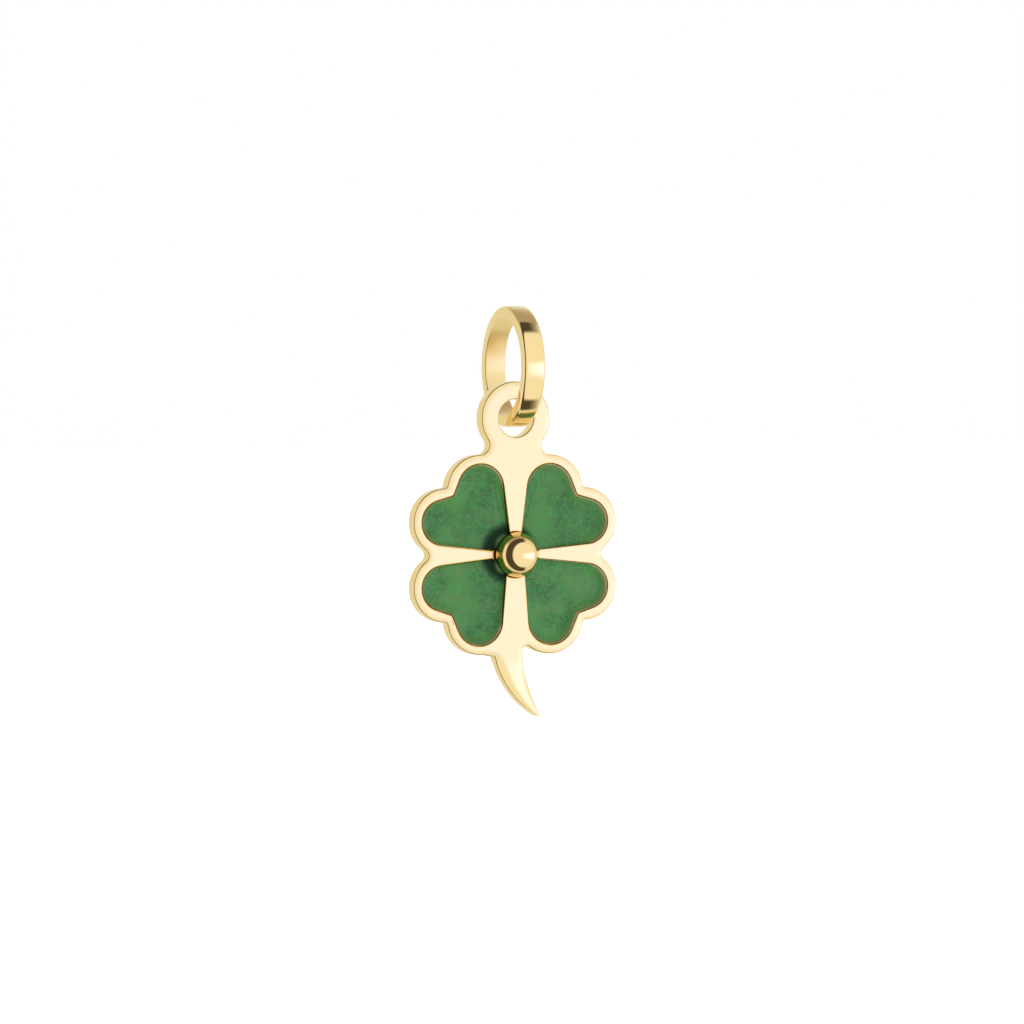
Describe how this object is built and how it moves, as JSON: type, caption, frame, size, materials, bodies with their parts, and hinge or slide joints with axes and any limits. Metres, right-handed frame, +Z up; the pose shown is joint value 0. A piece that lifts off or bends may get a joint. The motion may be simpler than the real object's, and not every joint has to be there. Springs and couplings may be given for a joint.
{
  "type": "four leaf clover pendant",
  "caption": "Small gold clover pendant with heart-shaped green enamel leaves, a centre bead and a curved stem, hung from a round flat-band ring.",
  "frame": {"origin": "the inner top of the hanging ring, where a chain carries the pendant", "axes": "+Z up along the pendant's height, -Y out of the enamelled face, +X to the right seen from the face"},
  "size_m": [0.009, 0.005, 0.017],
  "materials": {
    "bail_gold": "polished yellow gold",
    "plate_gold": "polished yellow gold",
    "bead_gold": "mirror-polished yellow gold",
    "enamel_green": "glossy speckled green enamel"
  },
  "bodies": {
    "bail": {"bail": "bail_gold"},
    "clover": {"clover_plate": "plate_gold", "centre_bead": "bead_gold", "enamel_upper_left": "enamel_green", "enamel_upper_right": "enamel_green", "enamel_lower_left": "enamel_green", "enamel_lower_right": "enamel_green"}
  },
  "joints": [
    {"name": "clover_swing", "type": "hinge", "parent": "bail", "child": "clover", "pos_m": [0, 0, -0.002], "axis": [1, 0, 0], "range_deg": [-75, 75]}
  ]
}
